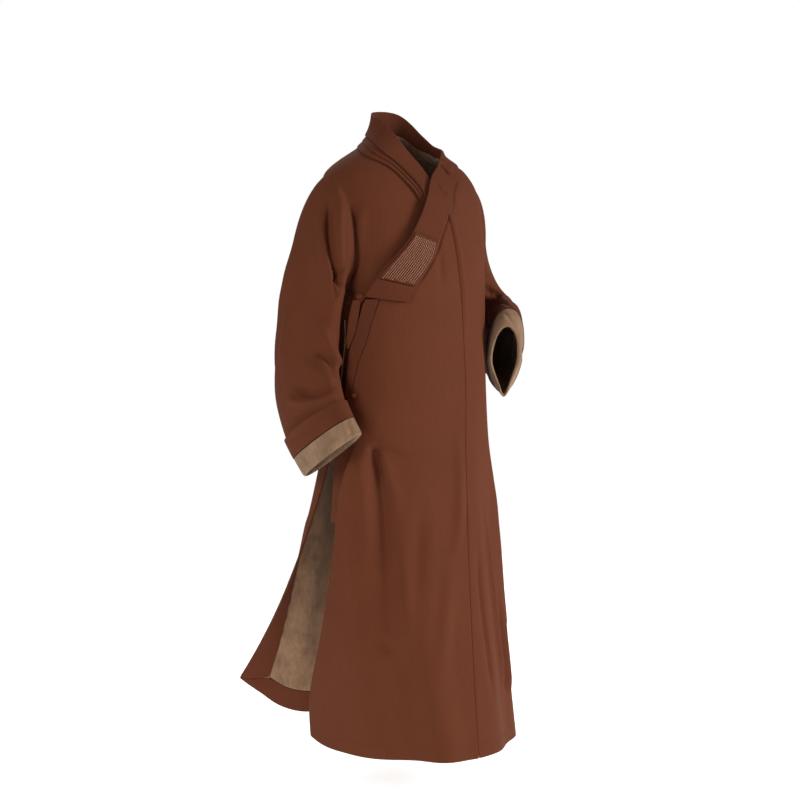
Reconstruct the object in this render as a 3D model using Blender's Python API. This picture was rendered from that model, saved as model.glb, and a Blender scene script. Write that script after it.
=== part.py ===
# A long crossed-collar winter robe, worn in a walking pose with nobody inside.
# Metres, +Z up, the wearer faces -Y and the wearer's left is +X.
# The origin is where the shoulders carry the robe, level with the foot of the collar.
import bpy
import numpy as np

for old in list(bpy.data.objects):
    bpy.data.objects.remove(old, do_unlink=True)

# Driving sizes
CLOTH = 0.0024  # wall of the body cloth
STRIP = 0.0016  # wall of the narrow collar layers and other small strips
BAND = 0.0030  # wall of the collar band
CUFF = 0.0030  # wall of the turned-back cuffs
SEAM_GAP = 0.0004  # left between pieces that are sewn to each other
LAP = 0.0135  # how far the lapped front stands off the right front below it
HEM_Z = -1.345
HIP_Z = -0.66
SHOULDER_Z = -0.05  # outer end of the shoulder line
UNDERARM_Z = -0.315
SLIT_TOP_Z = -0.60
UNDER_HEM_Z = -0.83  # the right front stops here, under the lapped front

# The worn body as level sections. The first column is the height, then the half width to
# the wearer's left and right, the depth to the front and to the back, and the middle.
SECTION_COLUMNS = ("z", "left", "right", "front", "back", "mid_x", "mid_y")
SECTIONS = (
    (0.095, 0.052, 0.052, 0.044, 0.052, 0.000, 0.018),
    (0.060, 0.058, 0.058, 0.046, 0.060, 0.000, 0.014),
    (0.030, 0.065, 0.074, 0.056, 0.072, -0.002, 0.006),
    (0.005, 0.077, 0.103, 0.064, 0.084, -0.008, 0.000),
    (-0.020, 0.096, 0.148, 0.078, 0.094, -0.012, 0.000),
    (-0.050, 0.147, 0.190, 0.104, 0.104, -0.013, 0.000),
    (-0.090, 0.172, 0.200, 0.135, 0.114, -0.013, 0.000),
    (-0.160, 0.182, 0.200, 0.148, 0.122, -0.012, 0.000),
    (-0.300, 0.185, 0.197, 0.155, 0.120, -0.008, 0.000),
    (-0.450, 0.186, 0.194, 0.152, 0.112, -0.005, 0.000),
    (-0.660, 0.192, 0.200, 0.162, 0.125, -0.006, 0.000),
    (-1.400, 0.203, 0.210, 0.170, 0.135, -0.006, 0.000),
)
SLUMP = 0.026  # the neck hangs this much lower on the wearer's left
SLUMP_TURN = 352.0
SLUMP_REACH = 78.0
SLUMP_FOOT = -0.075  # nothing below this height has slid
SQUARENESS = 2.25  # 2 is an ellipse, more is boxier

# The hem seen from above: direction round the body in degrees, place and height.
HEM_COLUMNS = ("round", "x", "y", "z")
HEM = (
    (0.0, 0.257, 0.020, -1.345),
    (20.0, 0.250, 0.090, -1.345),
    (45.0, 0.212, 0.165, -1.345),
    (70.0, 0.125, 0.222, -1.345),
    (100.0, 0.020, 0.245, -1.345),
    (130.0, -0.080, 0.270, -1.343),
    (155.0, -0.165, 0.315, -1.312),
    (180.0, -0.228, 0.352, -1.252),
)
FRONT_HEM = (
    (180.0, -0.196, 0.104, -1.330),
    (192.0, -0.206, 0.020, -1.343),
    (205.0, -0.188, -0.050, -1.345),
    (222.0, -0.136, -0.148, -1.345),
    (242.0, -0.082, -0.226, -1.345),
    (260.0, -0.031, -0.255, -1.345),
    (275.0, 0.012, -0.258, -1.345),
    (292.0, 0.079, -0.238, -1.345),
    (312.0, 0.150, -0.192, -1.345),
    (332.0, 0.212, -0.134, -1.345),
    (346.0, 0.248, -0.065, -1.345),
    (360.0, 0.262, 0.020, -1.345),
)


def smooth_rows(table, at):
    """Every further column of a table, read off smoothly at values of its first column."""
    rows = np.array(table, float)
    rows = rows[np.argsort(rows[:, 0], kind="stable")]
    knots = rows[:, 0]
    slopes = np.gradient(rows[:, 1:], knots, axis=0)
    at = np.clip(np.asarray(at, float), knots[0], knots[-1])
    low = np.clip(np.searchsorted(knots, at, side="right") - 1, 0, len(knots) - 2)
    span = knots[low + 1] - knots[low]
    t = ((at - knots[low]) / span)[..., None]
    span = span[..., None]
    first = rows[low, 1:]
    second = rows[low + 1, 1:]
    return (
        first * (1 + 2 * t) * (1 - t) ** 2
        + slopes[low] * span * t * (1 - t) ** 2
        + second * t * t * (3 - 2 * t)
        + slopes[low + 1] * span * t * t * (t - 1)
    )


def ease(value):
    value = np.clip(value, 0.0, 1.0)
    return value * value * (3 - 2 * value)


def level_point(turn, z):
    """A point of the plain worn section at a direction (degrees) and height."""
    left, right, front, back, mid_x, mid_y = np.moveaxis(smooth_rows(SECTIONS, z), -1, 0)
    angle = np.radians(turn)
    c = np.cos(angle)
    s = np.sin(angle)
    side = np.where(c > 0, left, right)
    depth = np.where(s > 0, back, front)
    power = 2.0 / SQUARENESS
    x = mid_x + side * np.sign(c) * np.abs(c) ** power
    y = mid_y + depth * np.sign(s) * np.abs(s) ** power
    return np.stack([x, y, z + 0.0 * x], -1)


def skirt_share(z):
    """0 at the hip and above, 1 at the hem: how far the flare has gone."""
    drop = np.clip((HIP_Z - z) / (HIP_Z - HEM_Z), 0, 1.08)
    return 0.75 * drop + 0.25 * drop * drop


def slump(turn, z):
    """How far the neck has slid down on the wearer's left, at its most level with the collar."""
    away = np.abs((turn - SLUMP_TURN + 180.0) % 360.0 - 180.0) / SLUMP_REACH
    return SLUMP * ease(1 - away) * ease((z - SLUMP_FOOT) / 0.11)


def body_point(turn, z, is_front):
    """The worn robe's surface, without its layers. The hem table carries the skirt."""
    turn = np.asarray(turn, float)
    z = np.asarray(z, float)
    base = level_point(turn, np.maximum(z, HIP_Z))
    table = FRONT_HEM if is_front else HEM
    hem = smooth_rows(table, turn)
    share = skirt_share(z)[..., None]
    drop = np.clip((HIP_Z - z) / (HIP_Z - HEM_Z), 0, None)[..., None]
    place = base[..., :2] + (hem[..., :2] - base[..., :2]) * share
    height = z[..., None] + (hem[..., 2:] - HEM_Z) * drop * drop
    height = height - slump(turn, z)[..., None]
    return np.concatenate([place, height], -1)


# Soft folds: direction at the top and at the bottom, height of each end, half width in
# degrees, and how far the cloth stands out (or sinks in, below 0).
FOLD_COLUMNS = ("turn_top", "turn_foot", "z_top", "z_foot", "width", "rise")
FRONT_FOLDS = (
    (204.0, 214.0, -0.640, -1.350, 9.0, 0.016),
    (214.0, 232.0, -0.660, -1.150, 7.0, -0.010),
    (226.0, 248.0, -0.700, -1.300, 9.0, 0.008),
    (262.0, 262.0, -0.550, -1.350, 9.0, -0.008),
    (282.0, 288.0, -0.250, -1.350, 7.0, 0.007),
    (300.0, 303.0, -0.620, -1.350, 8.0, -0.010),
    (318.0, 318.0, -0.560, -1.350, 8.0, 0.012),
    (338.0, 334.0, -0.640, -1.350, 8.0, -0.009),
)
BACK_FOLDS = (
    (20.0, 18.0, -0.480, -1.345, 8.0, 0.010),
    (42.0, 40.0, -0.420, -1.345, 8.0, -0.012),
    (62.0, 64.0, -0.500, -1.345, 8.0, 0.012),
    (90.0, 88.0, -0.380, -1.345, 9.0, -0.010),
    (114.0, 114.0, -0.500, -1.345, 8.0, 0.012),
    (136.0, 138.0, -0.440, -1.345, 8.0, -0.012),
    (158.0, 160.0, -0.600, -1.300, 7.0, 0.010),
)


def fold_height(turn, z, folds):
    rise_here = np.zeros(np.broadcast(turn, z).shape)
    for turn_top, turn_foot, z_top, z_foot, width, rise in folds:
        along = (z_top - z) / (z_top - z_foot)
        middle = turn_top + (turn_foot - turn_top) * np.clip(along, 0, 1)
        across = np.exp(-(((turn - middle) / width) ** 2))
        rise_here = rise_here + rise * across * ease(along * 2.2) * (along > 0)
    return rise_here


def layer_height(turn):
    """How far the left front stands off, so that the right front has room below it."""
    return LAP * ease((340.0 - turn) / 38.0)


# Where the hand holds the front edge up: direction, height, reach round and down, rise.
GRIP = {"turn": 205.0, "z": -0.668, "round": 13.0, "up": 0.038, "down": 0.170, "rise": 0.034}


def grip_height(turn, z):
    reach = np.where(z > GRIP["z"], GRIP["up"], GRIP["down"])
    return GRIP["rise"] * np.exp(
        -(((turn - GRIP["turn"]) / GRIP["round"]) ** 2) - ((z - GRIP["z"]) / reach) ** 2
    )


def on_body(turn, z, off, kind):
    """A point at a distance outside the surface; kind is back, under or lap."""
    turn = np.asarray(turn, float) + 0.0 * np.asarray(z, float)
    z = np.asarray(z, float) + 0.0 * turn
    is_front = kind != "back"
    here = body_point(turn, z, is_front)
    round_step = body_point(turn + 0.5, z, is_front) - body_point(turn - 0.5, z, is_front)
    up_step = body_point(turn, z + 0.004, is_front) - body_point(turn, z - 0.004, is_front)
    normal = np.cross(round_step, up_step)
    normal /= np.linalg.norm(normal, axis=-1, keepdims=True)
    if kind == "back":
        rise = fold_height(turn, z, BACK_FOLDS)
    elif kind == "lap":
        rise = layer_height(turn) + fold_height(turn, z, FRONT_FOLDS) + grip_height(turn, z)
    else:
        rise = 0.0 * turn
    return here + normal * (off + rise)[..., None]


# Edges that part the body into its pieces, as direction against height.
FRONT_SEAM_COLUMNS = ("z", "turn")
FRONT_SEAM = (
    (-0.120, 270.5),
    (-0.200, 274.0),
    (-0.340, 278.5),
    (-0.460, 280.5),
    (-0.720, 278.0),
    (-1.040, 274.5),
    (-1.345, 270.5),
)
# The lapped front's free edge at the wearer's right, from the knot down to the hem.
LAP_EDGE = (
    (-0.300, 213.0),
    (-0.330, 211.0),
    (-0.380, 206.0),
    (-0.440, 199.0),
    (-0.500, 196.0),
    (-0.560, 197.0),
    (-0.610, 203.0),
    (-0.650, 208.0),
    (-0.690, 203.0),
    (-0.760, 196.5),
    (-0.900, 191.0),
    (-1.100, 185.0),
    (-1.280, 181.0),
    (-1.345, 184.0),
)
UNDER_EDGE = (
    (-0.120, 264.0),
    (-0.200, 270.0),
    (-0.300, 282.0),
    (-0.420, 288.0),
    (-0.830, 288.0),
)

# The collar band, station by station from its end at the right underarm, up over the chest,
# round the neck and down to its hidden end: inner edge, outer edge, and the height of its
# middle above the surface. A turn over 360 is back round behind the neck.
BAND_COLUMNS = ("inner_turn", "inner_z", "outer_turn", "outer_z", "off")
LAP_BAND = (
    (212.2, -0.3172, 242.0, -0.3294, 0.0035),
    (219.8, -0.2828, 245.9, -0.3028, 0.0032),
    (227.4, -0.2540, 251.6, -0.2762, 0.0032),
    (237.2, -0.2227, 257.9, -0.2478, 0.0032),
    (245.3, -0.1925, 262.2, -0.2173, 0.0032),
    (251.2, -0.1616, 266.3, -0.1845, 0.0032),
    (256.4, -0.1268, 269.8, -0.1532, 0.0032),
    (261.3, -0.0940, 273.7, -0.1208, 0.0040),
    (268.2, -0.0625, 277.6, -0.0920, 0.0042),
    (283.0, -0.0330, 290.0, -0.0660, 0.0044),
    (308.0, 0.0000, 314.0, -0.0350, 0.0050),
    (334.0, 0.0290, 337.0, -0.0120, 0.0058),
    (355.0, 0.0490, 357.0, 0.0030, 0.0066),
    (373.0, 0.0620, 373.0, 0.0140, 0.0078),
    (391.0, 0.0735, 391.0, 0.0225, 0.0086),
    (417.0, 0.0840, 417.0, 0.0305, 0.0092),
    (450.0, 0.0880, 450.0, 0.0330, 0.0094),
)
RIGHT_BAND = (
    (90.0, 0.0880, 90.0, 0.0330, 0.0094),
    (128.0, 0.0850, 128.0, 0.0310, 0.0094),
    (158.0, 0.0770, 158.0, 0.0250, 0.0094),
    (187.0, 0.0655, 183.0, 0.0150, 0.0094),
    (209.5, 0.0435, 209.0, 0.0005, 0.0094),
    (229.6, 0.0240, 230.5, -0.0150, 0.0094),
    (252.5, -0.0060, 246.0, -0.0350, 0.0094),
    (263.2, -0.0365, 254.3, -0.0645, 0.0094),
    (266.0, -0.0715, 259.0, -0.0985, 0.0094),
    (268.5, -0.1100, 261.8, -0.1400, 0.0094),
    (271.0, -0.1550, 264.5, -0.1850, 0.0094),
    (276.0, -0.2000, 269.0, -0.2300, 0.0094),
)


# Making closed walls out of sheets


class Sheet:
    """Points and four-sided faces of one piece's middle surface."""

    def __init__(self):
        self.points = []
        self.faces = []

    def add_grid(self, grid, closed=False):
        """grid is rows x columns x 3; closed joins the last column to the first."""
        rows, columns = grid.shape[:2]
        start = len(self.points)
        self.points.extend(grid.reshape(-1, 3))
        wide = columns if closed else columns - 1
        for i in range(rows - 1):
            for j in range(wide):
                a = start + i * columns + j
                b = start + i * columns + (j + 1) % columns
                self.faces.append((a, b, b + columns, a + columns))
        return start

    def weld(self):
        """Makes one point of those that lie in one place."""
        points = np.array(self.points)
        keys = np.round(points * 2e5).astype(np.int64)
        unique, first, index = np.unique(keys, axis=0, return_index=True, return_inverse=True)
        index = index.reshape(-1)
        self.index = index
        faces = []
        for face in self.faces:
            ring = [int(index[v]) for v in face]
            kept = [v for k, v in enumerate(ring) if v != ring[k - 1]]
            if len(set(kept)) >= 3:
                faces.append(tuple(kept))
        self.points = list(points[first])
        self.faces = faces


def point_normals(points, faces):
    normals = np.zeros_like(points)
    for face in faces:
        ring = points[list(face)]
        area = np.zeros(3)
        for k in range(1, len(face) - 1):
            area += np.cross(ring[k] - ring[0], ring[k + 1] - ring[0])
        for v in face:
            normals[v] += area / (np.linalg.norm(area) + 1e-12)
    return normals / (np.linalg.norm(normals, axis=1, keepdims=True) + 1e-12)


def wall_mesh(points, faces, thick, normals=None):
    """A closed wall about a sheet: outer and inner skins and the rims between them."""
    points = np.asarray(points, float)
    if normals is None:
        normals = point_normals(points, faces)
    count = len(points)
    both = np.concatenate([points + normals * thick / 2, points - normals * thick / 2])
    skins = list(faces) + [tuple(count + v for v in reversed(face)) for face in faces]
    seen = {}
    for face in faces:
        for k, v in enumerate(face):
            w = face[(k + 1) % len(face)]
            seen[(v, w)] = seen.get((v, w), 0) + 1
    for v, w in seen:
        if (w, v) not in seen:
            skins.append((w, v, count + v, count + w))
    return both, skins


def material(name, colour, roughness):
    made = bpy.data.materials.new(name)
    made.use_nodes = True
    shader = made.node_tree.nodes["Principled BSDF"]
    shader.inputs["Base Color"].default_value = (*colour, 1.0)
    shader.inputs["Roughness"].default_value = roughness
    made.diffuse_color = (*colour, 1.0)
    return made


BROWN = (0.142, 0.040, 0.022)
TAN = (0.390, 0.255, 0.160)


def place_part(name, sheet, thick, colour, roughness=0.85, weld=True, normals=None):
    """Puts one sewn piece in the scene as a closed wall, shaded smooth."""
    if weld:
        sheet.weld()
    points, faces = wall_mesh(sheet.points, sheet.faces, thick, normals)
    mesh = bpy.data.meshes.new(name)
    mesh.from_pydata([tuple(p) for p in points], [], faces)
    mesh.update()
    for polygon in mesh.polygons:
        polygon.use_smooth = True
    made = bpy.data.objects.new(name, mesh)
    made.data.materials.append(material(name + "_cloth", colour, roughness))
    bpy.context.scene.collection.objects.link(made)
    return made


def read_turn(table, z):
    return smooth_rows(table, z)[..., 0]


def band_station(table, share):
    """Station values at a share of the way along a band's table."""
    rows = np.array(table, float)
    marks = np.arange(len(rows), dtype=float)
    keyed = np.concatenate([marks[:, None], rows], 1)
    return smooth_rows(keyed, np.asarray(share, float) * (len(rows) - 1))


# The body pieces


ARM_TURN = np.linspace(0, np.pi, 11)
ARM_ROWS = SHOULDER_Z + (UNDERARM_Z - SHOULDER_Z) * (1 - np.cos(ARM_TURN)) / 2
ARMHOLE_FRONT = 26.0  # degrees from the side to the armhole's edge, at its widest
ARMHOLE_BACK = 32.0


def armhole(z, widest):
    t = np.clip((SHOULDER_Z - z) / (SHOULDER_Z - UNDERARM_Z), 0, 1)
    return widest * np.clip(4 * t * (1 - t), 0, 1) ** 0.45


NECK_SHARE = 0.30  # how far in under the band the body cloth reaches
NECK_ROWS = np.array([0.018, 0.006, -0.007, -0.021, -0.036])
CHEST_TO_SLIT = np.linspace(UNDERARM_Z, SLIT_TOP_Z, 10)[1:]
FACING_WIDTH = 0.058
SKIRT = np.linspace(SLIT_TOP_Z, HEM_Z + FACING_WIDTH, 16)[1:]
SKIRT = np.concatenate([SKIRT, [HEM_Z + FACING_WIDTH / 2, HEM_Z]])
ROWS = np.concatenate([NECK_ROWS, ARM_ROWS, CHEST_TO_SLIT, SKIRT])
SLIT_GAP_TURN = 1.3  # degrees each way at the plain slit on the wearer's left


def neck_turns(table, z):
    """The body cloth ends under the middle of the collar band: turn at each height."""
    rows = np.array(table, float)
    edge = NECK_SHARE * rows[:, 0:2] + (1 - NECK_SHARE) * rows[:, 2:4]
    pairs = [(z_here, turn) for turn, z_here in edge]
    return smooth_rows(pairs, z)[..., 0]


def body_grid(turns_a, turns_b, rows, kind, shares, off=0.0):
    """A grid of one panel, each row run between its two edges at the given shares."""
    share = shares[None, :]
    turn = turns_a[:, None] * (1 - share) + turns_b[:, None] * share
    z = rows[:, None] + 0.0 * turn
    if kind == "back":
        from_side = np.minimum(np.abs(turn), np.abs(180.0 - turn))
        z[0] = NECK_ROWS[0] + 0.001 + 0.017 * ease(from_side[0] / 60.0)
    return on_body(turn, z, np.full(turn.shape, off), kind)


EVEN = np.linspace(0, 1, 11)
# The last two columns beside the right slit carry its facing.
BACK_SHARES = np.array([0, 0.11, 0.22, 0.33, 0.44, 0.55, 0.66, 0.77, 0.885, 1.0])


def side_edge(rows, middle, widest, toward, slit):
    """The panel's edge at one side: shoulder line, armhole, side seam and slit."""
    edge = middle + toward * armhole(rows, widest)
    below = rows < SLIT_TOP_Z - 1e-6
    return np.where(below, middle + toward * slit, edge)


def make_body_left():
    sheet = Sheet()
    # Front, from the middle seam and the neck to the left side
    rows = ROWS
    neck = neck_turns(LAP_BAND[:14], rows)
    seam = read_turn(FRONT_SEAM, rows)
    inner = np.where(rows > -0.118, np.maximum(neck, 271.0), seam) + 0.12
    outer = side_edge(rows, 360.0, ARMHOLE_FRONT, -1.0, SLIT_GAP_TURN)
    inner = np.minimum(inner, outer - 4.0)
    sheet.add_grid(body_grid(inner, outer, rows, "lap", EVEN))
    # Back, from the left side to the seam down the middle of the back
    back_rows = np.concatenate([[0.04], rows])
    first = side_edge(back_rows, 0.0, ARMHOLE_BACK, 1.0, SLIT_GAP_TURN)
    last = np.full(back_rows.shape, 90.0 - 0.15)
    sheet.add_grid(body_grid(first, last, back_rows, "back", EVEN))
    return place_part("body_left", sheet, CLOTH, BROWN)


def make_body_right():
    """The right front and back in one piece. Its back keeps its points for the facings."""
    sheet = Sheet()
    rows = ROWS[ROWS > UNDER_HEM_Z - 0.01]
    neck = neck_turns(RIGHT_BAND[2:], rows)
    hidden = read_turn(UNDER_EDGE, rows)
    inner = np.where(rows > -0.118, np.minimum(neck, 264.0), hidden)
    outer = side_edge(rows, 180.0, ARMHOLE_FRONT, 1.0, 3.0)
    inner = np.maximum(inner, outer + 4.0)
    sheet.add_grid(body_grid(outer, inner, rows, "under", EVEN))
    back_rows = np.concatenate([[0.04], ROWS])
    last = side_edge(back_rows, 180.0, ARMHOLE_BACK, -1.0, 0.0)
    first = np.full(back_rows.shape, 90.0 + 0.15)
    start = sheet.add_grid(body_grid(first, last, back_rows, "back", BACK_SHARES))
    place_part("body_right", sheet, CLOTH, BROWN)
    shape = (len(back_rows), len(BACK_SHARES))
    index = sheet.index[start : start + shape[0] * shape[1]].reshape(shape)
    points = np.array(sheet.points)
    normals = point_normals(points, sheet.faces)
    return points[index], normals[index]


def make_lap_front():
    """The piece sewn to the left front at the middle seam, lapped to the wearer's right."""
    sheet = Sheet()
    rows = np.concatenate([np.linspace(-0.128, -0.300, 8), ROWS[ROWS < -0.31]])
    seam = read_turn(FRONT_SEAM, rows) - 0.12
    rows_band = [(row[1] + row[3], row[0] + row[2]) for row in LAP_BAND[:9]]
    rows_band = np.array(rows_band) / 2
    diagonal = smooth_rows(rows_band, rows)[..., 0]
    free = read_turn(LAP_EDGE, rows)
    blend = ease((rows + 0.305) / -0.025)
    edge = diagonal * (1 - blend) + free * blend
    edge = np.minimum(edge, seam - 3.0)
    sheet.add_grid(body_grid(edge, seam, rows, "lap", np.linspace(0, 1, 15)))
    return place_part("lap_front", sheet, CLOTH, BROWN)


# The collar


def band_grid(table, steps, across, extra=0.0, lap=True, start=0.0, end=1.0):
    share = np.linspace(start, end, steps)
    values = band_station(table, share)
    cross = np.linspace(0, 1, across)[None, :]
    turn = values[:, None, 0] * (1 - cross) + values[:, None, 2] * cross
    z = values[:, None, 1] * (1 - cross) + values[:, None, 3] * cross
    off = values[:, None, 4] + extra + 0.0 * cross
    return band_points(turn, z, off, lap)


def band_points(turn, z, off, lap):
    if lap:
        front = on_body(turn, z, off, "lap")
        behind = on_body(turn - 360.0, z, off, "back")
        return np.where((turn > 360.0)[..., None], behind, front)
    front = on_body(turn, z, off, "under")
    behind = on_body(turn, z, off, "back")
    return np.where((turn < 180.0)[..., None], behind, front)


def make_collar():
    sheet = Sheet()
    sheet.add_grid(band_grid(LAP_BAND, 33, 4)[:, ::-1])
    sheet.add_grid(band_grid(RIGHT_BAND, 23, 4, lap=False)[:, ::-1])
    return place_part("collar_band", sheet, BAND, BROWN)


# The sleeves, ring by ring: the middle, then half vectors to the outer and the fore side.
SLEEVE_COLUMNS = ("x", "y", "z", "out_x", "out_y", "out_z", "fore_x", "fore_y", "fore_z")
RIGHT_SLEEVE = (
    (-0.219, 0.000, -0.196, -0.006, 0.000, 0.126, 0.000, -0.084, 0.000),
    (-0.229, 0.003, -0.219, -0.015, -0.001, 0.114, 0.000, -0.090, 0.000),
    (-0.236, 0.007, -0.256, -0.022, 0.000, 0.091, 0.000, -0.093, 0.000),
    (-0.241, 0.014, -0.301, -0.028, 0.002, 0.066, 0.000, -0.095, 0.000),
    (-0.244, 0.024, -0.348, -0.034, 0.004, 0.042, 0.000, -0.097, 0.004),
    (-0.245, 0.035, -0.396, -0.038, 0.005, 0.022, 0.002, -0.100, 0.008),
    (-0.247, 0.043, -0.444, -0.041, 0.006, 0.008, 0.003, -0.102, 0.018),
    (-0.253, 0.037, -0.494, -0.041, 0.006, -0.003, 0.000, -0.105, 0.030),
    (-0.258, 0.016, -0.545, -0.040, 0.006, -0.008, -0.004, -0.105, 0.042),
    (-0.260, -0.012, -0.594, -0.038, 0.004, -0.009, -0.006, -0.102, 0.053),
    (-0.256, -0.036, -0.629, -0.036, 0.002, -0.010, -0.006, -0.100, 0.054),
    (-0.249, -0.060, -0.664, -0.034, 0.001, -0.011, -0.006, -0.098, 0.055),
)
LEFT_SLEEVE = (
    (0.185, 0.012, -0.196, 0.005, 0.002, 0.122, 0.000, -0.078, 0.000),
    (0.191, 0.025, -0.218, 0.011, 0.003, 0.110, 0.004, -0.078, 0.000),
    (0.202, 0.040, -0.254, 0.018, 0.006, 0.088, 0.006, -0.077, 0.000),
    (0.220, 0.052, -0.296, 0.025, 0.008, 0.064, 0.006, -0.079, 0.004),
    (0.242, 0.058, -0.338, 0.033, 0.010, 0.042, 0.003, -0.084, 0.018),
    (0.257, 0.047, -0.378, 0.039, 0.010, 0.022, -0.004, -0.084, 0.048),
    (0.263, 0.014, -0.410, 0.041, 0.000, 0.010, -0.008, -0.062, 0.078),
    (0.253, -0.032, -0.430, 0.038, -0.013, 0.004, -0.013, -0.042, 0.092),
    (0.231, -0.078, -0.443, 0.034, -0.018, 0.000, -0.016, -0.034, 0.097),
    (0.198, -0.121, -0.454, 0.032, -0.020, 0.000, -0.016, -0.030, 0.097),
    (0.164, -0.157, -0.474, 0.028, -0.018, 0.000, -0.014, -0.026, 0.083),
)


def armhole_ring(mirror):
    """Points round the armhole: shoulder, down the front, underarm, up the back."""
    front = armhole(ARM_ROWS, ARMHOLE_FRONT)
    back = armhole(ARM_ROWS, ARMHOLE_BACK)
    off = np.zeros(ARM_ROWS.shape)
    if mirror > 0:
        before = on_body(360.0 - front, ARM_ROWS, off, "lap")
        behind = on_body(back, ARM_ROWS, off, "back")
    else:
        before = on_body(180.0 + front, ARM_ROWS, off, "under")
        behind = on_body(180.0 - back, ARM_ROWS, off, "back")
    ring = np.concatenate([before, behind[-2:0:-1]])
    outward = np.array([mirror, 0.0, 0.0])
    return ring + outward * 0.0050


def sleeve_ring(table, mirror, mark):
    """One ring; whole marks are the table's rows, and 0 is the armhole."""
    first = armhole_ring(mirror)
    phi = np.linspace(0, 2 * np.pi, len(first), endpoint=False)
    keyed = [(float(k), *row) for k, row in enumerate(table, 1)]
    values = smooth_rows(keyed, np.array(max(mark, 1.0)))
    middle, out, fore = values[0:3], values[3:6], values[6:9]
    beyond = mark - len(table)
    if beyond > 0:
        step = np.array(table[-1][0:3]) - np.array(table[-2][0:3])
        middle = middle + step * beyond
    c = np.cos(phi)[:, None]
    s = np.sin(phi)[:, None]
    power = 0.92
    ring = middle + out * np.sign(c) * np.abs(c) ** power + fore * np.sign(s) * np.abs(s) ** power
    if mark < 1.0:
        ring = first * (1 - mark) + ring * mark
    return ring


def sleeve_tube(table, mirror, marks, offs):
    """Rings at marks along the sleeve, each moved out of the surface by its own amount."""
    rings = []
    for mark, off in zip(marks, offs):
        ring = sleeve_ring(table, mirror, mark)
        along = sleeve_ring(table, mirror, mark + 0.08) - sleeve_ring(table, mirror, mark - 0.08)
        round_step = np.roll(ring, -1, axis=0) - np.roll(ring, 1, axis=0)
        normal = np.cross(round_step, along)
        normal /= np.linalg.norm(normal, axis=1, keepdims=True) + 1e-12
        middle = ring.mean(axis=0)
        normal *= np.sign(((ring - middle) * normal).sum())
        rings.append(ring + normal * off)
    return np.array(rings)


def tube_sheet(rings, mirror):
    sheet = Sheet()
    facing = rings if mirror > 0 else rings[:, ::-1]
    sheet.add_grid(facing[:, ::-1], closed=True)
    return sheet


def make_sleeve(name, table, mirror):
    marks = np.concatenate([[0.0, 0.5], np.arange(1.0, len(table) - 1.9), [-1.5, -1.0, -0.5, -0.1]])
    marks[-4:] += len(table)
    rings = sleeve_tube(table, mirror, marks, np.zeros(len(marks)))
    return place_part(name, tube_sheet(rings, mirror), CLOTH, BROWN)


def make_cuff(side, table, mirror):
    """The sleeve's end turned back: the brown facing above, the plush lining round the fold."""
    last = len(table)
    over = CLOTH / 2 + 0.0009 + CUFF / 2
    marks = last + np.array([-2.0, -1.5, -1.0])
    rings = sleeve_tube(table, mirror, marks, np.full(3, over))
    place_part("cuff_facing_" + side, tube_sheet(rings, mirror), CUFF, BROWN)
    marks = np.array([-0.95, -0.5, -0.10, -0.01, 0.03, -0.01, -0.10, -0.5, -1.0])
    offs = np.array([1, 1, 1, 0.75, 0, -0.75, -1, -1, -1]) * over
    rings = sleeve_tube(table, mirror, last + marks, offs)
    place_part("cuff_plush_" + side, tube_sheet(rings, mirror), CUFF, TAN, 0.95)


# Narrow layers, patches and facings


def make_collar_layer(name, near, far, off):
    """A narrow layer showing beyond the outer edge of the band on the wearer's right."""
    sheet = Sheet()
    values = band_station(RIGHT_BAND, np.linspace(0.0, 0.86, 22))
    grow = ease(np.linspace(0, 1, 22) * 4.0) * 0.5 + 0.5
    cross = np.linspace(near, far, 3)[None, :]
    cross = 1 + (cross - 1) * np.where(cross > 1, grow[:, None], 1.0)
    turn = values[:, None, 0] * (1 - cross) + values[:, None, 2] * cross
    z = values[:, None, 1] * (1 - cross) + values[:, None, 3] * cross
    sheet.add_grid(band_points(turn, z, off + 0.0 * turn, False)[:, ::-1])
    return place_part(name, sheet, STRIP, BROWN)


STITCH_ROWS = 14
STITCH_RISE = 0.0007


def raise_rows(made, index_column):
    """Moves the outer skin's points out on every other row, over the plain inside."""
    mesh = made.data
    count = len(mesh.vertices) // 2
    outer = np.array([v.co[:] for v in mesh.vertices])
    lift = outer[:count] - outer[count:]
    lift /= np.linalg.norm(lift, axis=1, keepdims=True)
    from_axis = outer[:count] * np.array([1.0, 1.0, 0.0])
    skin = 0 if (lift * from_axis).sum() > 0 else count
    lift *= 1.0 if skin == 0 else -1.0
    for index in range(count):
        if index_column[index] % 2 == 1:
            mesh.vertices[skin + index].co = outer[skin + index] + lift[index] * STITCH_RISE


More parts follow.
